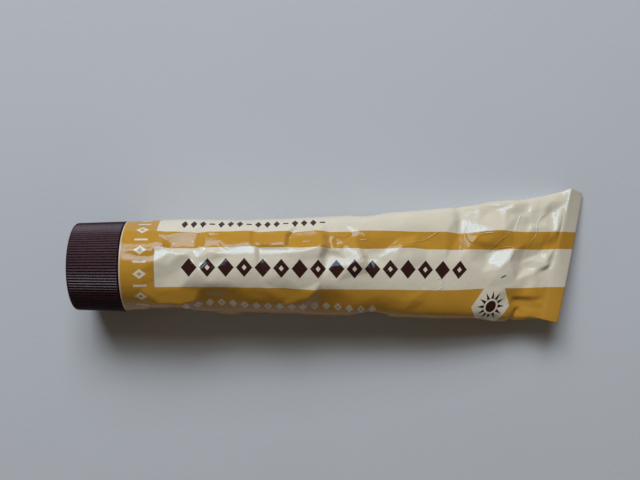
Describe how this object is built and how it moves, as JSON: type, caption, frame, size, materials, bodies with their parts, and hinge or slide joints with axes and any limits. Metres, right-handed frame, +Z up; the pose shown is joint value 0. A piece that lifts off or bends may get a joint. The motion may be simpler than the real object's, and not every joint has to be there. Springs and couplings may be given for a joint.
{
  "type": "screw-cap cream tube",
  "caption": "Collapsible metal cream tube lying on its belly, with a ribbed screw cap that unscrews along a nozzle, a dented full sleeve and a flattened, double-folded end.",
  "frame": {"origin": "centre of the bounding box's footprint, on the table that the tube lies on", "axes": "+X along the tube's axis from the cap towards the folded end, +Z up from the table"},
  "size_m": [0.1724, 0.046, 0.03],
  "materials": {
    "printed_sleeve": "printed and lacquered, glossy",
    "sealing_compound": "matt",
    "white_cream": "soft, slightly glossy",
    "brown_moulding": "glossy",
    "liner_wad": "matt"
  },
  "bodies": {
    "tube": {"tube_body": "printed_sleeve", "end_seal": "sealing_compound", "cream": "white_cream"},
    "liner": {"cap_liner": "liner_wad"},
    "cap": {"cap": "brown_moulding"}
  },
  "joints": [
    {"name": "cap_travel", "type": "slide", "parent": "tube", "child": "liner", "axis": [-1, 0, 0], "range_m": [0, 0.0105]},
    {"name": "cap_turn", "type": "hinge", "parent": "liner", "child": "cap", "pos_m": [-0.08399, -0.00382, 0.015], "axis": [-1, 0, 0], "range_deg": [0, 2520]}
  ],
  "couplings": [
    {"joint": "cap_travel", "follows": "cap_turn", "m_per_rad": 0.00023873}
  ]
}
